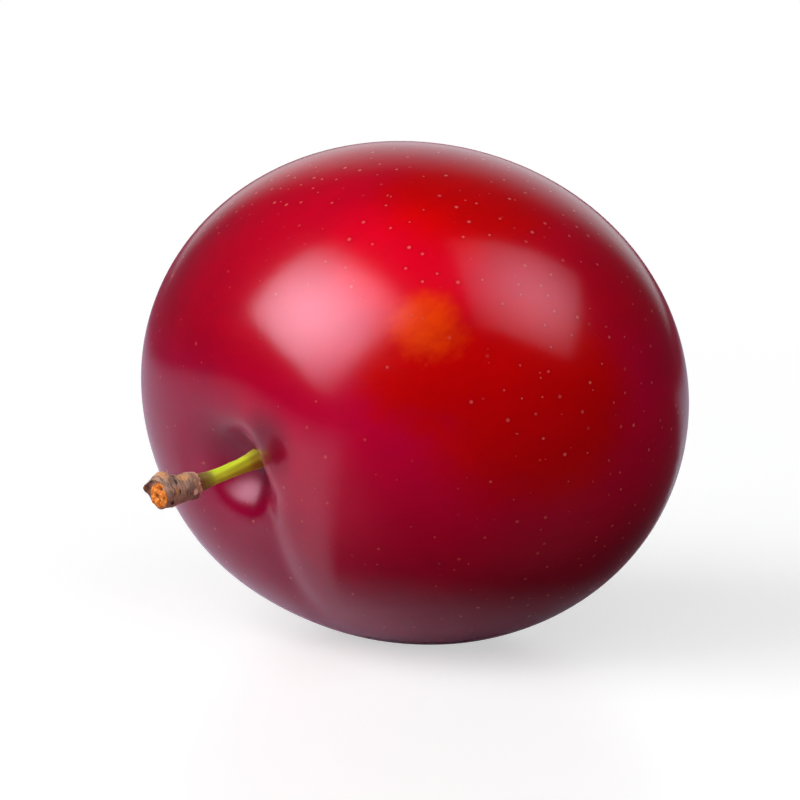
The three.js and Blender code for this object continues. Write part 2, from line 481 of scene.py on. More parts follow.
@dataclass(frozen=True)
class SkinFinish:
    """Waxy plum skin: wine to crimson to orange-red, with pale pores and a faint bloom.

    The stops run from the shaded side to the ripe one: the skin's own wine-to-red colour with painted
    shade, darker away from the ripe and lit side. A tint multiplies the colour by its side or by its
    reach, which says where the tint starts and where it is full: in millimetres from the cavity or
    the fold place, and for the back in how far the skin faces the suture. The glow is a painted
    highlight glow. The cavity gets painted shade, and the fold place is a painted dark spot beside the
    stem's foot, painted shade with a painted dark reflection. Heights are in millimetres.
    """

    fruit: "Fruit"
    # The ripe and lit side: the skin is palest here, and darker away from it with painted shade.
    ripe_and_lit_side: Place = (0.70, 0.42, -0.58)
    stops: tuple[tuple[float, Colour], ...] = (
        (0.30, (0.20, 0.0002, 0.028)),
        (0.62, (0.29, 0.0002, 0.030)),
        (0.78, (0.45, 0.0002, 0.032)),
        (0.90, (0.52, 0.0003, 0.034)),
        (1.0, (0.60, 0.0005, 0.036)),
    )
    # Painted highlight glow: the skin is made redder round the main highlight.
    glow: Side = Side((0.45, 0.46, -0.765), 0.93, 1.0)
    highlight_glow_tint: Colour = (1.25, 1.0, 1.0)
    warm: tuple[Side, ...] = (
        Side((0.66, 0.63, -0.41), 0.935, 0.978),
        Side((0.88, 0.40, -0.25), 0.86, 0.97),
        Side((0.42, 0.05, -0.906), 0.92, 0.99),
    )
    warm_tint: Colour = (1.0, 1.0, 0.05)
    back_reach: Span = (-0.2, -0.5)
    back_tint: Colour = (1.0, 1.0, 0.45)
    cavity_rise: float = 1.0
    cavity_reach: Span = (5.0, 2.0)
    # Painted shade: the skin is darkened inside the cavity.
    cavity_shade_tint: Colour = (0.7, 0.7, 0.8)
    # The fold place is the middle of a painted dark spot beside the stem's foot: painted shade with a
    # painted dark reflection, not a fold of the skin.
    fold: Place = (2.6, 22.2, -2.4)
    shade_and_reflection_reach: Span = (4.4, 1.2)
    shade_and_reflection_tint: Colour = (0.48, 0.48, 0.55)
    blush: Side = Side((0.605257, 0.575245, -0.550234), 0.984, 1.002)
    orange: Colour = (0.95, 0.10, 0.0005)
    orange_share: float = 0.5
    pore_pale: Colour = (0.82, 0.17, 0.14)
    pore_share: float = 0.62
    pore_ring_share: float = 0.08
    pore_scale: float = 0.5
    roughness: float = 0.145
    cavity_roughness: float = 0.22
    veil: Colour = (0.85, 0.62, 0.8)
    sheen: Colour = (0.85, 0.45, 0.7)
    wave_height: float = 0.04
    grain_height: float = 0.003

    def material(self) -> bpy.types.Material:
        """The skin's material."""
        made = Material("plum_skin")
        tree = made.tree
        own = tree.node(
            "ShaderNodeMapping",
            {"vector_type": "TEXTURE"},
            {
                "Vector": tree.node("ShaderNodeTexCoord", {}, {}, "Object"),
                "Location": tuple(self.fruit.centre),
                "Rotation": tuple(self.fruit.turn),
                "Scale": (MM, MM, MM),
            },
        )
        cavity = self.fruit.over_cavity(self.cavity_rise)
        # In the cavity the colour gets painted shade, and the finish is rougher.
        inside = tree.vector("DISTANCE", own, cavity).step(*self.cavity_reach)
        colour = self._ground(tree, own, inside)
        pores, rings = self._pores(tree, own)
        colour = tree.mix(rings * self.pore_ring_share, colour, self.stops[0][1])
        colour = tree.mix(pores * self.pore_share, colour, self.pore_pale)
        grain = tree.noise(own, 1.3, 3.0, 0.6)
        bloom = tree.noise(own, 0.13, 3.0, 0.6).step(0.45, 0.75)
        roughness = grain * 0.03 + bloom * 0.03 + inside * self.cavity_roughness + self.roughness
        return made.finish(
            {
                "Base Color": colour,
                "Roughness": roughness,
                "IOR": 1.5,
                "Specular IOR Level": 0.5,
                "Specular Tint": self.veil,
                "Sheen Weight": 0.35,
                "Sheen Roughness": 0.3,
                "Sheen Tint": self.sheen,
                "Subsurface Weight": 0.08,
                "Subsurface Radius": (0.004, 0.001, 0.0008),
                "Subsurface Scale": 0.5,
                "Normal": self._relief(tree, own),
            }
        )

    def _ground(self, tree: ShaderTree, own: Signal, inside: Signal) -> Signal:
        """The skin's colour before its pores: ripeness, streaks and flecks, then the tints."""
        facing = tree.vector("NORMALIZE", tree.vector("DIVIDE", own, tuple(self.fruit.halves)))
        fields = tree.noise(own, 0.055, 2.0, 0.5) - 0.5
        x, y, z = tree.split(own)
        streaks = tree.noise(tree.join(x, y * 0.3, z), 0.55, 3.0, 0.6) - 0.5
        flecks = tree.noise(own, 2.2, 2.0, 0.6) - 0.5
        # The ramp gives the skin's own colour with painted shade: darker on the side turned away from
        # the ripe and lit side.
        lit = tree.vector("DOT_PRODUCT", facing, self.ripe_and_lit_side)
        ripe_and_lit = lit * 0.5 + 0.5 + fields * 0.28 + streaks * 0.13 + flecks * 0.05
        colour = tree.node("ShaderNodeValToRGB", {"stops": self.stops}, {0: ripe_and_lit})
        # Painted highlight glow round the main highlight.
        glow = self.glow.nearness(tree, facing, fields * 0.08)
        uneven = fields * 0.08 + streaks * 0.04
        first, second, third = (side.nearness(tree, facing, uneven) for side in self.warm)
        _, _, towards_suture = tree.split(facing)
        # Painted shade and dark reflection beside the stem's foot, round the fold place.
        fold = tree.vector("DISTANCE", own, self.fold).step(*self.shade_and_reflection_reach)
        tints = (
            (glow, self.highlight_glow_tint),
            (first.most(second).most(third), self.warm_tint),
            (towards_suture.step(*self.back_reach), self.back_tint),
            (inside, self.cavity_shade_tint),
            (fold, self.shade_and_reflection_tint),
        )
        for mask, tint in tints:
            colour = tree.mix(mask, colour, tint, "MULTIPLY")
        patch = self.blush.nearness(tree, facing, streaks * 0.02 + fields * 0.03)
        return tree.mix(patch * self.orange_share, colour, self.orange)

    def _pores(self, tree: ShaderTree, own: Signal) -> tuple[Signal, Signal]:
        """Masks of the pale pores, and of the darker skin round them.

        A cell's pore sits where the line from the fruit's centre through the cell's own point
        meets the skin, so that each pore is a whole round dot.
        """
        sockets = {"Vector": own, "Scale": self.pore_scale, "Randomness": 1.0}
        cells = tree.node("ShaderNodeTexVoronoi", {"feature": "F1"}, sockets)
        outputs = cells.socket.node.outputs
        point = Signal(tree, outputs["Position"])
        size, drop, _ = tree.split(Signal(tree, outputs["Color"]))
        reach = tree.vector("LENGTH", own)
        at = tree.vector("SCALE", tree.vector("NORMALIZE", point), scale=reach)
        distance = tree.vector("DISTANCE", own, at)
        _, y, _ = tree.split(own)
        radius = size * 0.15 + 0.11
        shown = (drop - y.step(4.0, 20.0) * 0.4).step(0.30, 0.75)
        pores = (distance / radius).step(1.0, 0.3) * shown
        rings = (distance / radius).step(3.0, 1.1) * shown
        return pores, rings

    def _relief(self, tree: ShaderTree, own: Signal) -> Signal:
        """The skin's fine relief."""
        waves = tree.bump(tree.noise(own, 0.3, 2.0), self.wave_height * MM, 0.5)
        return tree.bump(tree.noise(own, 3.0, 3.0, 0.6), self.grain_height * MM, 0.6, waves)


@dataclass(frozen=True)
class StemFinish:
    """The yellow-green skin of the stem: with painted red light from the skin at its foot, browner and
    ringed at the joint.
    """

    light: Colour = (0.82, 1.0, 0.06)
    green: Colour = (0.66, 0.92, 0.03)
    olive: Colour = (0.26, 0.22, 0.04)
    brown: Colour = (0.22, 0.11, 0.035)
    # Painted red light from the skin, at the stem's foot.
    foot: Colour = (0.55, 0.42, 0.05)
    foot_reach: Span = (2.9, 2.0)
    length: float = STEM_LENGTH
    roughness: float = 0.4
    streak_height: float = 0.04

    def material(self) -> bpy.types.Material:
        """The stem's material."""
        made = Material("green_stem")
        tree = made.tree
        peg = made.attribute("peg")
        x, y, z = tree.split(peg)
        streaks = tree.noise(tree.join(x * 2.0, y * 0.25, z * 2.0), 1.2, 3.0, 0.55)
        colour = tree.mix(streaks.step(0.32, 0.66), self.green, self.light)
        blotches = tree.noise(peg, 0.9, 2.0)
        aged = (y + blotches * 1.6).step(self.length - 1.9, self.length - 0.1)
        colour = tree.mix(aged, colour, self.olive)
        rings = tree.noise(tree.join(x * 0.6, y * 5.0, z * 0.6), 1.0, 2.0).step(0.45, 0.62)
        browned = (y + blotches * 0.5).step(self.length - 0.6, self.length + 0.1)
        browned = (browned * 0.7 + rings * 0.5).clipped() * browned.step(0.0, 0.3)
        colour = tree.mix(browned, colour, self.brown)
        # Painted red light from the skin on the stem's foot.
        colour = tree.mix(y.step(*self.foot_reach) * 0.6, colour, self.foot)
        fine = tree.noise(peg, 9.0, 2.0)
        return made.finish(
            {
                "Base Color": colour,
                "Roughness": self.roughness,
                "Subsurface Weight": 0.12,
                "Subsurface Radius": (0.001, 0.001, 0.0004),
                "Subsurface Scale": 0.4,
                "Normal": tree.bump(streaks + fine * 0.2, self.streak_height * MM),
            }
        )


@dataclass(frozen=True)
class BarkFinish:
    """Thin, weathered spur bark: grey-brown, with tan and pale patches and dark cracks."""

    shaded: Colour = (0.27, 0.16, 0.115)
    brown: Colour = (0.47, 0.27, 0.19)
    tan: Colour = (0.60, 0.29, 0.125)
    pale: Colour = (0.90, 0.58, 0.46)
    dark: Colour = (0.045, 0.02, 0.014)
    roughness: float = 0.8
    wrinkle_height: float = 0.07

    def material(self) -> bpy.types.Material:
        """The bark's material."""
        made = Material("spur_bark")
        tree = made.tree
        peg = made.attribute("peg")
        tan, pale, dark = tree.split(made.attribute("tones"))
        x, y, z = tree.split(peg)
        clouds = tree.noise(peg, 1.1, 3.0, 0.6)
        colour = tree.mix(clouds.step(0.38, 0.62), self.shaded, self.brown)
        wrinkles = tree.noise(tree.join(x * 0.8, y * 3.2, z * 0.8), 1.5, 4.0, 0.6)
        colour = tree.mix((tan + (wrinkles - 0.5) * 0.7).step(0.3, 0.75), colour, self.tan)
        flakes = tree.noise(peg, 2.6, 3.0, 0.6)
        colour = tree.mix((pale + (flakes - 0.5) * 1.1).step(0.3, 0.8), colour, self.pale)
        colour = tree.mix(wrinkles.step(0.43, 0.34) * 0.7, colour, self.dark)
        colour = tree.mix((dark + (flakes - 0.5) * 0.5).step(0.3, 0.8), colour, self.dark)
        grain = wrinkles + tree.noise(peg, 9.0, 3.0, 0.6) * 0.4
        relief = tree.bump(grain, self.wrinkle_height * MM)
        return made.finish({"Base Color": colour, "Roughness": self.roughness, "Normal": relief})


@dataclass(frozen=True)
class WoodFinish:
    """Freshly broken orange-brown wood, dark in its pits."""

    bright: Colour = (0.90, 0.31, 0.02)
    deep: Colour = (0.68, 0.15, 0.006)
    dark: Colour = (0.07, 0.018, 0.004)
    roughness: float = 0.7
    fibre_height: float = 0.1

    def material(self) -> bpy.types.Material:
        """The wood's material."""
        made = Material("broken_wood")
        tree = made.tree
        peg = made.attribute("peg")
        pits, _, _ = tree.split(made.attribute("tones"))
        x, y, z = tree.split(peg)
        fibres = tree.noise(tree.join(x, y * 0.3, z), 3.0, 4.0, 0.65)
        colour = tree.mix(fibres.step(0.4, 0.6), self.deep, self.bright)
        colour = tree.mix((pits + (fibres - 0.5) * 0.5).step(0.35, 0.8), colour, self.dark)
        relief = tree.bump(fibres, self.fibre_height * MM)
        return made.finish({"Base Color": colour, "Roughness": self.roughness, "Normal": relief})


@dataclass(frozen=True)
class ScarFinish:
    """The dry brown scar that the flower left."""

    brown: Colour = (0.23, 0.12, 0.06)
    straw: Colour = (0.48, 0.30, 0.15)
    roughness: float = 0.75
    grain_height: float = 0.08

    def material(self) -> bpy.types.Material:
        """The scar's material."""
        made = Material("blossom_scar")
        tree = made.tree
        place = made.millimetres()
        grain = tree.noise(place, 5.0, 4.0, 0.6)
        colour = tree.mix(grain.step(0.4, 0.62), self.brown, self.straw)
        relief = tree.bump(grain, self.grain_height * MM)
        return made.finish({"Base Color": colour, "Roughness": self.roughness, "Normal": relief})


# ---------------------------------------------------------------------------------------------
# The plum
# ---------------------------------------------------------------------------------------------
@dataclass(frozen=True)
class Swelling:
    """A place where the skin stands out of the plain ellipsoid, or lies in where out is negative."""

    towards: Place
    width: float
    out: float


@dataclass
class Fruit:
    """The fruit's skin, from the same formula and sizes as the solid."""

    cheek_width: float = 57.6
    suture_width: float = 48.2
    length: float = 47.2
    dip: float = 9.0
    flat_depth: float = 0.65
    cavity_x: float = -3.0
    cavity_z: float = 1.2
    cavity_stretch: float = 1.15
    cavity_stretch_down: float = 1.3
    cavity_stretch_left: float = 1.6
    bowl_width: float = 8.0
    bowl_depth: float = 1.6
    funnel_width: float = 3.2
    funnel_depth: float = 3.2
    funnel_steepness: float = 2.3
    tip_width: float = 1.8
    tip_depth: float = 0.45
    suture_x: float = -0.2
    crease_width: float = 2.0
    crease_depth: float = 0.35
    valley_width: float = 6.0
    valley_depth: float = 0.6
    swellings: tuple[Swelling, ...] = (
        Swelling((-0.45, 0.75, 0.5), 9, 0.35),
        Swelling((0.8, 0.35, -0.5), 13, 0.3),
        Swelling((-0.75, -0.4, -0.5), 14, 0.35),
        Swelling((0.15, 0.1, -1), 12, -0.25),
        Swelling((0.6, -0.75, 0.3), 12, -0.3),
    )
    segments: int = 288
    rings: int = 180
    ring_crowding: float = 1.35
    press_softness: float = 0.12
    press_height: float = 5.0
    halves: np.ndarray = field(init=False)

    def __post_init__(self) -> None:
        """Works out the half axes."""
        self.halves = np.array([self.cheek_width, self.length, self.suture_width]) / 2

    @property
    def resting_height(self) -> float:
        """Height of the fruit's centre over the surface."""
        dip = math.radians(self.dip)
        reach = math.hypot(self.halves[2] * math.cos(dip), self.halves[1] * math.sin(dip))
        return reach - self.flat_depth

    @property
    def contact_offset(self) -> float:
        """How far the lowest point of the tilted fruit lies from under its centre."""
        dip = math.radians(self.dip)
        spread = self.halves[2] ** 2 - self.halves[1] ** 2
        return spread * math.sin(dip) * math.cos(dip) / (self.resting_height + self.flat_depth)

    @property
    def centre(self) -> Vector:
        """The fruit's centre in the row frame, in metres."""
        return Vector((0.0, -self.contact_offset, self.resting_height)) * MM

    @property
    def turn(self) -> Euler:
        """The turn from the fruit's own frame to the row frame."""
        return Euler((math.radians(180 + self.dip), 0.0, 0.0))

    def over_cavity(self, rise: float) -> Place:
        """The place at a height over the middle of the cavity's floor."""
        floor = self.halves[1] - self.bowl_depth - self.funnel_depth
        return self.cavity_x, floor + rise, self.cavity_z

    def to_row(self, places: np.ndarray) -> np.ndarray:
        """Takes places from the fruit's own frame to the row frame, in metres."""
        turn = np.array(self.turn.to_matrix())
        return places @ turn.T * MM + np.array(self.centre)

    def _suture_depth(self, places: np.ndarray) -> np.ndarray:
        """How deep the suture is folded in at places of the ellipsoid."""
        angle = np.degrees(np.arccos(np.clip(places[:, 1] / self.halves[1], -1, 1)))
        fade = 1 - smooth_step(angle, 24, 62) + 0.45 * smooth_step(angle, 118, 160)
        off = places[:, 0] - self.suture_x
        fold = self.crease_depth * bell(off, self.crease_width)
        fold += self.valley_depth * bell(off, self.valley_width)
        return fade * fold * smooth_step(places[:, 2], 0, 4)

    def _cavity_depth(self, places: np.ndarray) -> np.ndarray:
        """How far the stem cavity is pressed in at places of the skin."""
        off = places[:, 0] - self.cavity_x
        off = off / np.where(off < 0, self.cavity_stretch_left, 1.0)
        along = places[:, 2] - self.cavity_z
        along = along / np.where(along > 0, self.cavity_stretch_down, self.cavity_stretch)
        distance = np.hypot(off, along)
        bowl = self.bowl_depth * bell(distance, self.bowl_width)
        return bowl + self.funnel_depth * bell(distance, self.funnel_width, self.funnel_steepness)

    def shaped(self, sphere: np.ndarray) -> np.ndarray:
        """Moves places of the unit sphere to the skin.

        Args:
            sphere: Places on the unit sphere, +Y to the stem.

        Returns:
            The same places on the skin, in the fruit's own frame.
        """
        places = sphere * self.halves
        rise = -self._suture_depth(places)
        for swelling in self.swellings:
            towards = np.array(swelling.towards) / np.linalg.norm(swelling.towards)
            distance = np.linalg.norm(places - towards * self.halves, axis=1)
            rise += swelling.out * bell(distance, swelling.width)
        stem_side = places[:, 1] > 0
        outwards = places / np.linalg.norm(places, axis=1)[:, None]
        places = places + outwards * rise[:, None]
        tip = self.tip_depth * bell(np.hypot(places[:, 0], places[:, 2]), self.tip_width)
        places[:, 1] -= np.where(stem_side, self._cavity_depth(places), tip)
        return places

    def build(self) -> bpy.types.Object:
        """Models the skin.

        Returns:
            The skin, as it lies.
        """
        bpy.ops.object.select_all(action="DESELECT")
        bpy.ops.mesh.primitive_uv_sphere_add(
            segments=self.segments, ring_count=self.rings, rotation=(-math.pi / 2, 0.0, 0.0)
        )
        skin = bpy.context.active_object
        skin.name = skin.data.name = "skin"
        bpy.ops.object.transform_apply(location=False, rotation=True, scale=False)
        sphere = vertices_of(skin)
        angle = np.arccos(np.clip(sphere[:, 1], -1, 1))
        crowded = math.pi * (angle / math.pi) ** self.ring_crowding
        around = np.hypot(sphere[:, 0], sphere[:, 2])
        safe = np.where(around > 1e-6, around, 1.0)
        ring = np.where(around > 1e-6, np.sin(crowded), 0.0) / safe
        sphere = np.column_stack((sphere[:, 0] * ring, np.cos(crowded), sphere[:, 2] * ring))
        row = self.to_row(self.shaped(sphere))
        row[:, 2] = self._pressed(row[:, 2])
        return shape(skin, row)

    def _pressed(self, heights: np.ndarray) -> np.ndarray:
        """Presses what lies below the surface up to it, with a soft edge."""
        pressed = 0.5 * (heights + np.hypot(heights, self.press_softness * MM))
        return np.where(heights < self.press_height * MM, pressed, heights)


@dataclass
class StemLine:
    """The line that stem and stub follow: straight out of the cavity, then a slow bend."""

    foot: Place
    length: float
    swing: float = 10.0
    lift: float = 1.5
    straight_share: float = 0.42
    bend_share: float = 0.62
    samples: int = 400
    nudge: float = 0.05
    points: np.ndarray = field(init=False)
    reach: np.ndarray = field(init=False)

    def __post_init__(self) -> None:
        """Samples the line, evenly enough to look distances up."""
        foot = np.array(self.foot)
        end_direction = np.array(
            [-math.tan(math.radians(self.swing)), 1.0, -math.tan(math.radians(self.lift))]
        )
        end_direction /= np.linalg.norm(end_direction)
        straight = foot + np.array([0, self.length * self.straight_share, 0])
        bend = foot + np.array([0, self.length * self.bend_share, 0])
        end = bend + end_direction * self.length * (1 - self.bend_share)
        t = np.linspace(0, 1, self.samples)[:, None]
        self.points = (
            (1 - t) ** 3 * foot
            + 3 * (1 - t) ** 2 * t * straight
            + 3 * (1 - t) * t**2 * bend
            + t**3 * end
        )
        steps = np.linalg.norm(np.diff(self.points, axis=0), axis=1)
        self.reach = np.concatenate(([0.0], np.cumsum(steps)))

    def _at(self, heights: np.ndarray) -> np.ndarray:
        """The points of the line at distances along it."""
        return np.column_stack([np.interp(heights, self.reach, self.points[:, i]) for i in range(3)])

    def bent(self, pegs: np.ndarray) -> np.ndarray:
        """Bends pieces that stand on +Y at the origin along the line.

        Args:
            pegs: Places of the straight piece; their height is the distance along the line.

        Returns:
            The same places round the line, in the fruit's own frame.
        """
        heights = pegs[:, 1]
        centre = self._at(heights)
        inner = np.clip(heights, self.nudge, self.reach[-1] - self.nudge)
        along = self._at(inner + self.nudge) - self._at(inner - self.nudge)
        along /= np.linalg.norm(along, axis=1)[:, None]
        over = np.maximum(heights - self.reach[-1], 0) + np.minimum(heights, 0)
        centre = centre + along * over[:, None]
        sideways = np.array([1.0, 0.0, 0.0])
        side = sideways - along * (along @ sideways)[:, None]
        side /= np.linalg.norm(side, axis=1)[:, None]
        other = np.cross(side, along)
        return centre + side * pegs[:, :1] + other * pegs[:, 2:]


@dataclass
class Stem:
    """The green stem, finely ridged, thicker at its foot and at the joint with the stub."""

    fruit: Fruit
    line: StemLine
    length: float = STEM_LENGTH
    outline: tuple[Span, ...] = (
        (1.08, 0),
        (0.98, 1),
        (0.8, 2.3),
        (0.71, 4.6),
        (0.73, 6.8),
        (0.88, 8.3),
        (1.02, STEM_LENGTH),
    )
    ridges: int = 7
    ridge_height: float = 0.028
    ridge_twist: float = 0.5
    lump_height: float = 0.03
    sides: int = 64
    steps: int = 90

    def build(self) -> bpy.types.Object:
        """Models the stem.

        Returns:
            The stem, as it stands in the fruit.
        """
        run = smooth_outline(self.outline, self.steps)
        below = [(0.0, 0.0), (run[0][0] * 0.5, 0.0)]
        above = [(run[-1][0] * 0.5, self.length), (0.0, self.length)]
        stem = spun("stem_skin", [*below, *run, *above], self.sides)
        pegs = vertices_of(stem)
        carry(stem, "peg", pegs)
        radius, angle = round_axis(pegs)
        twist = angle * self.ridges + pegs[:, 1] * self.ridge_twist
        lumps = rough(pegs, 0.6, 3.1, 2) * self.lump_height
        swell = 1 + (np.cos(twist) * self.ridge_height + lumps) * smooth_step(radius, 0.2, 0.7)
        return shape(stem, self.fruit.to_row(self.line.bent(widened(pegs, swell))))


class Tone(Enum):
    """The tones of patches on the stub, by their place in the "tones" attribute."""

    TAN = 0
    PALE = 1
    DARK = 2


@dataclass(frozen=True)
class Knob:
    """A bud or scar that stands out of the stub: degrees round it, distance along it, size."""

    angle: float
    along: float
    width: float
    height: float


@dataclass(frozen=True)
class Patch:
    """A patch of the stub with a tone of its own: degrees round it, distance along it, size."""

    tone: Tone
    angle: float
    along: float
    around: float
    length: float
    raised: float = 0.0


@dataclass(frozen=True)
class Bristle:
    """A stiff hair on the stub: degrees round it, distance along it, length and lean."""

    angle: float
    along: float
    length: float
    lean: float


def turn_between(angle: np.ndarray, degrees: float) -> np.ndarray:
    """The turn from an angle in degrees to angles in radians, between minus and plus half a turn."""
    turn = angle - math.radians(degrees)
    return np.arctan2(np.sin(turn), np.cos(turn))


@dataclass
class SpurStub:
    """The stub of the spur: its bark, the papery ring at the joint, the broken wood, the bristles."""

    fruit: Fruit
    line: StemLine
    start: float
    length: float = STUB_LENGTH
    outline: tuple[Span, ...] = (
        (1.18, 0),
        (1.33, 0.35),
        (1.26, 0.9),
        (1.24, 1.7),
        (1.28, 2.5),
        (1.34, 3.3),
        (1.28, STUB_LENGTH),
    )
    knobs: tuple[Knob, ...] = (
        Knob(222, 2.9, 1.05, 0.85),
        Knob(255, 3.8, 0.5, 0.4),
        Knob(70, 1.5, 0.8, 0.16),
        Knob(330, 2.6, 0.9, 0.25),
        Knob(150, 0.9, 0.7, 0.12),
    )
    patches: tuple[Patch, ...] = (
        Patch(Tone.TAN, 159, 1.35, 0.5, 0.85, 0.07),
        Patch(Tone.TAN, 107, 2.8, 0.42, 0.4, 0.06),
        Patch(Tone.TAN, 190, 3.1, 0.5, 0.5, 0.0),
        Patch(Tone.TAN, 300, 2.0, 0.5, 0.6, 0.05),
        Patch(Tone.PALE, 78, 0.65, 0.34, 0.3, 0.04),
        Patch(Tone.PALE, 30, 2.4, 0.3, 0.8, 0.02),
        Patch(Tone.PALE, 260, 1.2, 0.4, 0.5, 0.03),
        Patch(Tone.DARK, 150, 2.35, 0.36, 0.2, -0.12),
        Patch(Tone.DARK, 103, 2.35, 0.3, 0.1, -0.08),
        Patch(Tone.DARK, 185, 2.15, 0.4, 0.16, -0.1),
        Patch(Tone.DARK, 60, 3.3, 0.3, 0.2, -0.06),
        Patch(Tone.DARK, 330, 1.3, 0.3, 0.3, -0.08),
    )
    pits: tuple[Place, ...] = (
        (290, 0.14, 0.26),
        (155, 0.8, 0.22),
        (25, 0.5, 0.13),
        (235, 0.75, 0.15),
    )
    bristles: tuple[Bristle, ...] = (
        Bristle(205, 2.3, 0.6, -25),
        Bristle(226, 2.5, 0.7, 10),
        Bristle(240, 3.3, 0.6, 35),
    )
    seen_side: float = 107.0
    slant: float = 0.1
    dish: float = 0.4
    end_from: float = 2.9
    flap_side: float = 250.0
    flap_width: float = 0.4
    flap_height: float = 0.45
    ring_lean: float = 0.26
    ring_tatter: float = 0.16
    ring_reach: float = 0.42
    wood_radius: float = 1.2
    wood_depth: float = 0.9
    wood_rings: int = 30
    wood_sides: int = 96
    pit_depth: float = 0.35
    sides: int = 160
    steps: int = 110

    def _knobs_at(self, angle: np.ndarray, along: np.ndarray) -> np.ndarray:
        """How far the knobs stand out."""
        height = np.zeros_like(along)
        for knob in self.knobs:
            around = turn_between(angle, knob.angle) * self.outline[0][0]
            height += knob.height * bell(np.hypot(around, along - knob.along), knob.width)
        return height

    def _bud_scales(self, angle: np.ndarray, along: np.ndarray) -> tuple[np.ndarray, np.ndarray]:
        """How far the bud's overlapping scales stand out, and where their edges are."""
        bud = self.knobs[0]
        around = turn_between(angle, bud.angle) * self.outline[0][0]
        distance = np.hypot(around, (along - bud.along) * 0.8) / bud.width
        phase = np.mod(distance * 2.4 + 0.35 * np.sin(angle * 3.0 + along), 1.0)
        near = bell(distance, 1.3, 4.0)
        return 0.09 * (1.0 - phase) ** 1.5 * near, smooth_step(phase, 0.72, 0.95) * near

    def _tones(self, angle: np.ndarray, along: np.ndarray) -> tuple[np.ndarray, np.ndarray]:
        """The patches' tones and how far they stand out."""
        tones = np.zeros((len(along), 3))
        raised = np.zeros_like(along)
        for patch in self.patches:
            around = turn_between(angle, patch.angle) * self.outline[0][0] / patch.around
            mask = bell(np.hypot(around, (along - patch.along) / patch.length), 1.0, 2.6)
            tones[:, patch.tone.value] = np.maximum(tones[:, patch.tone.value], mask)
            raised += patch.raised * mask
        return tones, raised

    def _end(self, angle: np.ndarray, share: np.ndarray) -> np.ndarray:
        """How far the broken end is from a straight cut, by angle and share of the radius."""
        ragged = rough(on_circle(angle), 2.2, 5.5, 3) * 0.1
        slanted = -self.slant * np.cos(turn_between(angle, self.seen_side))
        return (slanted + ragged) * share

    def _placed(self, piece: bpy.types.Object, pegs: np.ndarray) -> bpy.types.Object:
        """Bends a piece of the stub along the line and shades it smooth."""
        bent = self.line.bent(pegs + np.array([0.0, self.start, 0.0]))
        return shape(piece, self.fruit.to_row(bent))

    def build_bark(self) -> bpy.types.Object:
        """Models the bark.

        Returns:
            The bark.
        """
        run = smooth_outline(self.outline, self.steps)
        rim, top = run[-1]
        shares = (0.95, 0.9, 0.8, 0.6, 0.3)
        inner = [(rim * share, top - self.dish * (1 - share) ** 0.5) for share in shares]
        closed = [(0.0, 0.0), (run[0][0] * 0.5, 0.0), *run, *inner, (0.0, top - self.dish)]
        bark = spun("spur_bark", closed, self.sides)
        pegs = vertices_of(bark)
        radius, angle = round_axis(pegs)
        along = pegs[:, 1]
        outside = smooth_step(radius, 0.9, 1.15)
        tones, raised = self._tones(angle, along)
        scales, edges = self._bud_scales(angle, along)
        tones[:, Tone.DARK.value] = np.maximum(tones[:, Tone.DARK.value], edges * 0.8)
        carry(bark, "peg", pegs)
        carry(bark, "tones", tones)
        squashed = pegs * np.array([0.8, 3.2, 0.8])
        wrinkles = rough(squashed, 1.2, 8.3, 4) * 0.07 + rough(pegs, 1.1, 2.6, 3) * 0.08
        height = self._knobs_at(angle, along) + raised + scales + wrinkles
        shaped = widened(pegs, 1 + height * outside / np.maximum(radius, 0.5))
        flap = self.flap_height * bell(turn_between(angle, self.flap_side), self.flap_width)
        flap *= smooth_step(radius, 0.9 * rim, rim)
        shaped[:, 1] += (self._end(angle, radius / rim) + flap) * smooth_step(along, self.end_from, top)
        return self._placed(bark, shaped)

    def build_ring(self) -> bpy.types.Object:
        """Models the papery ring where stem and stub join.

        Returns:
            The ring.
        """
        section = (
            (1.06, -0.22),
            (1.12, -0.25),
            (1.20, -0.08),
            (1.30, 0.12),
            (1.36, 0.32),
            (1.36, 0.50),
            (1.26, 0.66),
            (1.15, 0.55),
            (1.12, 0.25),
            (1.08, -0.02),
        )
        ring = spun("joint_ring", section, self.sides, ring=True)
        subdivide(ring, 2, smoothness=1.0)
        pegs = vertices_of(ring)
        _, angle = round_axis(pegs)
        lip = smooth_step(-pegs[:, 1], -0.25, 0.25)
        edge = on_circle(angle)
        reach = self.ring_lean * (1 - np.cos(turn_between(angle, self.seen_side)))
        reach += rough(edge, 3.0, 1.2, 3) * self.ring_tatter
        flare = rough(np.column_stack((edge[:, :2], pegs[:, 1])), 2.4, 6.6, 3) * 0.07
        shaped = widened(pegs, 1 + flare / 1.2)
        shaped[:, 1] -= np.minimum(reach, self.ring_reach) * lip
        tones = np.zeros_like(pegs)
        tones[:, Tone.PALE.value] = 0.3 + 0.35 * lip + rough(edge, 1.4, 3.3, 2) * 0.5
        tones[:, Tone.TAN.value] = 0.5
        carry(ring, "peg", pegs)
        carry(ring, "tones", tones)
        return self._placed(ring, shaped)

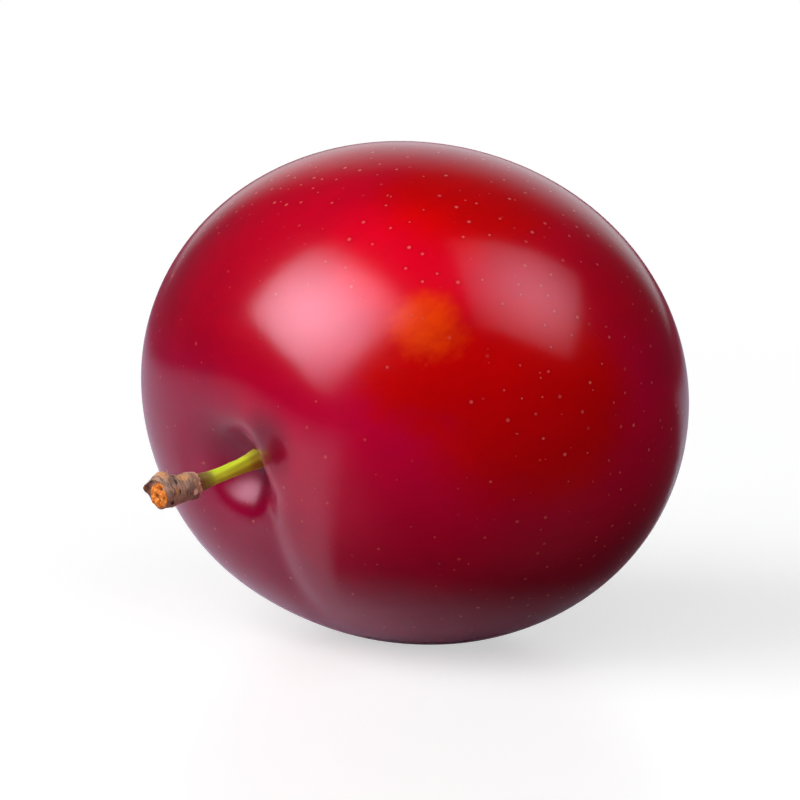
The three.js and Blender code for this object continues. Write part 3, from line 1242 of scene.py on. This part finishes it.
    def build_wood(self) -> bpy.types.Object:
        """Models the broken wood in the end of the stub.

        Returns:
            The wood.
        """
        top, radius = self.length, self.wood_radius
        foot = top - self.wood_depth
        outline = [(0.0, foot), (radius * 0.8, foot), (radius, top - 0.7), (radius, top - 0.15)]
        rings = [(radius * share, top) for share in np.linspace(0.97, 0.03, self.wood_rings)]
        wood = spun("broken_wood", [*outline, *rings, (0.0, top)], self.wood_sides)
        pegs = vertices_of(wood)
        off, angle = round_axis(pegs)
        upper = smooth_step(pegs[:, 1], top - 0.6, top - 0.1)
        flat = pegs * np.array([1.0, 0.0, 1.0])
        fibres = rough(flat, 2.6, 4.4, 2) * 0.12 + np.abs(rough(flat, 6.0, 9.1, 2)) * 0.12
        pits = np.zeros_like(off)
        for degrees, distance, width in self.pits:
            middle = outwards_at(degrees) * distance
            pits = np.maximum(pits, bell(np.linalg.norm(flat - middle, axis=1), width, 2.4))
        height = fibres - pits * self.pit_depth + 0.1 * (1 - (off / radius) ** 2)
        shaped = pegs.copy()
        shaped[:, 1] += (height + self._end(angle, off / radius)) * upper
        carry(wood, "peg", pegs)
        carry(wood, "tones", np.column_stack((pits, np.zeros_like(pits), np.zeros_like(pits))))
        return self._placed(wood, shaped)

    def build_bristles(self) -> bpy.types.Object:
        """Models the stiff hairs round the bud.

        Returns:
            The hairs, as one piece.
        """
        hairs = []
        for bristle in self.bristles:
            bpy.ops.object.select_all(action="DESELECT")
            bpy.ops.mesh.primitive_cone_add(vertices=6, radius1=0.045, radius2=0.008, depth=1.0)
            hair = bpy.context.active_object
            subdivide(hair, 3)
            local = vertices_of(hair) + np.array([0.0, 0.0, 0.5])
            turned, lean = math.radians(bristle.angle), math.radians(bristle.lean)
            outwards, sideways = outwards_at(bristle.angle), outwards_at(bristle.angle + 90)
            upwards = outwards * math.cos(lean) + np.array([0.0, math.sin(lean), 0.0])
            across = np.cross(upwards, sideways)
            knobs = self._knobs_at(np.array([turned]), np.array([bristle.along]))[0]
            root = outwards * (self.outline[3][0] + knobs - 0.1) + np.array([0.0, bristle.along, 0.0])
            curl = 0.25 * bristle.length * local[:, 2] ** 2
            places = (
                root
                + upwards * (local[:, 2:] * bristle.length)
                + sideways * (local[:, :1] + curl[:, None])
                + across * local[:, 1:2]
            )
            move_vertices(hair, places)
            hairs.append(hair)
        for hair in hairs:
            hair.select_set(True)
        bpy.ops.object.join()
        piece = bpy.context.active_object
        piece.name = piece.data.name = "bud_bristles"
        pegs = vertices_of(piece)
        carry(piece, "peg", pegs)
        carry(piece, "tones", np.tile((0.9, 0.0, 0.0), (len(pegs), 1)))
        piece.location = (0.0, 0.0, 0.0)
        return self._placed(piece, pegs)


@dataclass
class BlossomScar:
    """The small dry scar on the fruit's blossom end."""

    radius: float = 0.75
    height: float = 0.22
    lobes: int = 5
    lobe_share: float = 0.12
    dent_width: float = 0.22
    dent_depth: float = 0.16
    sides: int = 48

    def build(self, fruit: Fruit) -> bpy.types.Object:
        """Models the scar.

        Args:
            fruit: The fruit that it sits on.

        Returns:
            The scar.
        """
        shares = np.linspace(0.95, 0.05, 14)
        dome = [(self.radius * share, self.height * (1 - share**2.2)) for share in shares]
        below = [(0.0, -0.3), (self.radius * 0.8, -0.3), (self.radius, -0.05)]
        scar = spun("blossom_scar", [*below, *dome, (0.0, self.height)], self.sides)
        pegs = vertices_of(scar)
        off, angle = round_axis(pegs)
        dent = self.dent_depth * bell(off, self.dent_width)
        lobes = self.lobe_share * np.cos(angle * self.lobes + 0.6) * off / self.radius
        shaped = widened(pegs, 1 + lobes)
        shaped[:, 1] += (rough(pegs, 2.2, 7.7, 3) * 0.08 - dent) * smooth_step(pegs[:, 1], -0.1, 0.05)
        tip = -fruit.halves[1] - fruit.tip_depth - 0.03
        places = shaped * np.array([1.0, -1.0, -1.0]) + np.array([0.0, tip, 0.0])
        return shape(scar, fruit.to_row(places))


# ---------------------------------------------------------------------------------------------
# Studio
# ---------------------------------------------------------------------------------------------
@dataclass(frozen=True)
class Edge:
    """A straight edge of a softbox: light lies on the side that its normal points away from."""

    normal: Span
    offset: float
    softness: float


@dataclass(frozen=True)
class Softbox:
    """A soft light that looks at the plum.

    Its width, its height and the offsets of its edges are shares of its distance, which is in
    metres. A mirrored one shows in the glossy skin, and a lighting one lights the skin's own
    colour. Its light fades away from the hot spot where a hot width is given.
    """

    name: str
    azimuth: float
    elevation: float
    width: float
    height: float
    power: float
    tilt: float = 0.0
    distance: float = 0.7
    mirrored: bool = True
    lighting: bool = True
    edges: tuple[Edge, ...] = ()
    hot_spot: Span = (0.0, 0.0)
    hot_width: float = 0.0

    def shade(self, tree: ShaderTree) -> None:
        """Gives the light its outline and its fade.

        Args:
            tree: The light's node tree.
        """
        place = tree.node("ShaderNodeNewGeometry", {}, {}, "Parametric")
        u, v, _ = tree.split(place)
        across, up = (u - 0.5) * self.width, (v - 0.5) * self.height
        strength: Any = 1.0
        for edge in self.edges:
            over = across * edge.normal[0] + up * edge.normal[1]
            low, high = edge.offset + edge.softness / 2, edge.offset - edge.softness / 2
            strength = over.step(low, high) * strength
        if self.hot_width:
            fall = across.bell(self.hot_spot[0], self.hot_width)
            strength = fall * up.bell(self.hot_spot[1], self.hot_width) * strength
        glow = tree.node("ShaderNodeEmission", {}, {"Color": WHITE, "Strength": strength})
        tree.node("ShaderNodeOutputLight", {}, {"Surface": glow})


@dataclass
class Studio:
    """The pale floor, the softboxes, the surrounding and the camera.

    Azimuths are degrees from -Y to +X. The frame's width and the aim are millimetres, and the
    floor's reaches metres from the middle of the flat spot. The camera sees the floor lit near the
    plum and white further off. The plum sees it tinted, and dark where it lies hidden, on the
    plum's right, and beyond its bright part.
    """

    azimuth: float = 44.5
    elevation: float = 12.0
    frame_width: float = 76.65
    aim_right: float = -1.41
    aim_up: float = -0.70
    lens: float = 800.0
    sensor: float = 36.0
    floor_radius: float = 1.5
    floor_seen: Colour = (0.55, 0.55, 0.56)
    floor_near: Colour = (0.82, 0.78, 0.9)
    floor_far: Colour = (0.46, 0.42, 0.52)
    floor_hidden: Colour = (0.18, 0.012, 0.02)
    floor_glow: float = 0.55
    white_reach: Span = (0.04, 0.16)
    hidden_turn: float = 44.0
    hidden_edge: Span = (-0.1, 0.12)
    hidden_reach: Span = (0.012, 0.024)
    bright_reach: Span = (0.13, 0.26)
    light_height: float = 24.0
    backdrop_azimuth: float = -139.0
    backdrop_width: Span = (0.6, 0.22)
    backdrop_height: Span = (0.95, 0.05)
    backdrop_strength: float = 0.85
    room_strength: float = 0.01

    def _away(self, azimuth: float, elevation: float) -> Vector:
        """The direction towards an azimuth, counted from -Y to +X, and an elevation."""
        turn, rise = math.radians(azimuth), math.radians(elevation)
        level = math.cos(rise)
        return Vector((math.sin(turn) * level, -math.cos(turn) * level, math.sin(rise)))

    def place_camera(self, target: Vector) -> bpy.types.Object:
        """Makes the camera.

        Args:
            target: The fruit's centre.

        Returns:
            The camera.
        """
        back = self._away(self.azimuth, self.elevation)
        right = Vector((-back.y, back.x, 0.0)).normalized()
        up = back.cross(right)
        aim = target + (right * self.aim_right + up * self.aim_up) * MM
        distance = self.frame_width * MM * self.lens / self.sensor
        data = bpy.data.cameras.new("camera")
        data.lens, data.sensor_width = self.lens, self.sensor
        data.clip_start, data.clip_end = 0.01, 50.0
        camera = add_object("camera", data)
        turn = Matrix((right, up, back)).transposed()
        camera.matrix_world = Matrix.Translation(aim + back * distance) @ turn.to_4x4()
        bpy.context.scene.camera = camera
        return camera

    def lay_floor(self) -> bpy.types.Object:
        """Makes the floor: lit near the plum, plain white further off.

        Returns:
            The floor.
        """
        bpy.ops.object.select_all(action="DESELECT")
        bpy.ops.mesh.primitive_circle_add(vertices=96, radius=self.floor_radius, fill_type="NGON")
        floor = bpy.context.active_object
        floor.name = "floor"
        made = Material("floor")
        tree = made.tree
        place = tree.node("ShaderNodeTexCoord", {}, {}, "Object")
        reach = tree.vector("LENGTH", place)
        seen = tree.node("ShaderNodeLightPath", {}, {}, "Is Camera Ray")
        aside = self._away(self.azimuth + self.hidden_turn, 0)
        towards = tree.vector("DOT_PRODUCT", tree.vector("NORMALIZE", place), aside)
        hidden = towards.step(*self.hidden_edge) * reach.step(*self.hidden_reach)
        near = tree.mix(hidden, self.floor_near, self.floor_hidden)
        lit = made.principled(
            {
                "Base Color": tree.mix(seen, near, self.floor_seen),
                "Roughness": 0.35,
                "Specular IOR Level": 0.3,
                "Emission Color": WHITE,
                "Emission Strength": seen * self.floor_glow,
            }
        )
        unlit = hidden.most(reach.step(*self.bright_reach))
        tint = tree.mix(seen, tree.mix(unlit, self.floor_far, self.floor_hidden), WHITE)
        plain = tree.node("ShaderNodeEmission", {}, {"Color": tint, "Strength": 1.0})
        far = reach.step(*self.white_reach)
        shader = tree.node("ShaderNodeMixShader", {}, {0: far, 1: lit, 2: plain})
        floor.data.materials.append(made.close(shader))
        return floor

    def hang_softbox(self, box: Softbox) -> bpy.types.Object:
        """Hangs a softbox that looks at the plum.

        Args:
            box: The softbox.

        Returns:
            The light.
        """
        data = bpy.data.lights.new(box.name, "AREA")
        data.shape = "RECTANGLE"
        data.size, data.size_y = box.width * box.distance, box.height * box.distance
        data.energy = box.power
        if box.edges or box.hot_width:
            data.use_nodes = True
            box.shade(ShaderTree(data.node_tree))
        light = add_object(box.name, data)
        away = self._away(box.azimuth, box.elevation)
        light.location = away * box.distance + Vector((0.0, 0.0, self.light_height * MM))
        tilt = Matrix.Rotation(math.radians(box.tilt), 3, "Z")
        light.rotation_euler = (away.to_track_quat("Z", "Y").to_matrix() @ tilt).to_euler()
        light.visible_camera = False
        light.visible_glossy = box.mirrored
        light.visible_diffuse = box.lighting
        # Otherwise a light that isn't mirrored leaves its outline on the glossy skin.
        data.cycles.use_multiple_importance_sampling = box.mirrored
        return light

    def surround(self) -> None:
        """Sets the world: white to the camera, and to the plum a dim room with a bright backdrop."""
        world = bpy.data.worlds.new("studio")
        bpy.context.scene.world = world
        world.use_nodes = True
        tree = ShaderTree(world.node_tree)
        direction = tree.node("ShaderNodeTexCoord", {}, {}, "Generated")
        ahead = self._away(self.backdrop_azimuth, 0)
        aside = self._away(self.backdrop_azimuth + 90, 0)
        depth = tree.vector("DOT_PRODUCT", direction, tuple(ahead)).most(0.01)
        _, _, rise = tree.split(direction)
        across = abs(tree.vector("DOT_PRODUCT", direction, tuple(aside)) / depth)
        backdrop = across.step(*self.backdrop_width) * (rise / depth).step(*self.backdrop_height)
        seen = tree.node("ShaderNodeLightPath", {}, {}, "Is Camera Ray")
        room = backdrop * self.backdrop_strength + self.room_strength
        strength = room * (1.0 - seen) + seen
        background = tree.node("ShaderNodeBackground", {}, {"Color": WHITE, "Strength": strength})
        tree.node("ShaderNodeOutputWorld", {}, {"Surface": background})


SOFTBOXES = (
    Softbox(
        "key_softbox",
        azimuth=-28,
        elevation=36,
        width=1.1,
        height=1.24,
        power=26.0,
        lighting=False,
        edges=(
            Edge((-1.0, 0.0), 0.42, 0.1),
            Edge((-0.459, -0.888), 0.38, 0.1),
            Edge((0.98, -0.2), 0.46, 0.25),
            Edge((0.0, 1.0), 0.44, 0.25),
        ),
        hot_spot=(0.0, -0.03),
        hot_width=0.42,
    ),
    Softbox(
        "side_softbox",
        azimuth=105,
        elevation=60,
        width=0.95,
        height=0.92,
        power=6.0,
        tilt=41,
        lighting=False,
        hot_spot=(-0.03, -0.06),
        hot_width=0.42,
    ),
    Softbox(
        "key_light", azimuth=-28, elevation=36, width=1.0, height=1.0, power=5.2, mirrored=False
    ),
    Softbox(
        "fill_light", azimuth=60, elevation=45, width=1.4, height=1.2, power=3.2, mirrored=False
    ),
)


def settle(piece: bpy.types.Object, slot: str, material: bpy.types.Material, *nodes: str) -> None:
    """Dresses a piece, ties it to the frame and reports it.

    Args:
        piece: The piece.
        slot: The name of the record's material slot for the piece; not used.
        material: Its material.
        nodes: The solids that it stands for.
    """
    piece.data.materials.clear()
    piece.data.materials.append(material)
    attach(piece, BODY)
    if nodes:
        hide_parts(*nodes)
    LOG.info("%s: %d faces", piece.name, len(piece.data.polygons))


def main() -> None:
    """Builds the plum and its studio."""
    logging.basicConfig(level=logging.INFO, format="%(name)s: %(message)s")
    fruit = Fruit()
    line = StemLine(fruit.over_cavity(CLEARANCE - SOCKET_DEPTH), STEM_LENGTH + CLEARANCE + STUB_LENGTH)
    stem = Stem(fruit, line)
    stub = SpurStub(fruit, line, STEM_LENGTH + CLEARANCE)

    settle(fruit.build(), "skin", SkinFinish(fruit).material(), "fruit")
    settle(stem.build(), "green_stem", StemFinish().material(), "stem")
    bark = BarkFinish().material()
    settle(stub.build_bark(), "bark", bark, "spur_stub")
    settle(stub.build_ring(), "bark", bark)
    settle(stub.build_bristles(), "bark", bark)
    settle(stub.build_wood(), "broken_wood", WoodFinish().material())
    settle(BlossomScar().build(fruit), "bark", ScarFinish().material())

    studio = Studio()
    studio.place_camera(fruit.centre)
    studio.lay_floor()
    for box in SOFTBOXES:
        studio.hang_softbox(box)
    studio.surround()
    bpy.context.scene.view_settings.view_transform = "Standard"


if __name__ == "__main__":
    main()
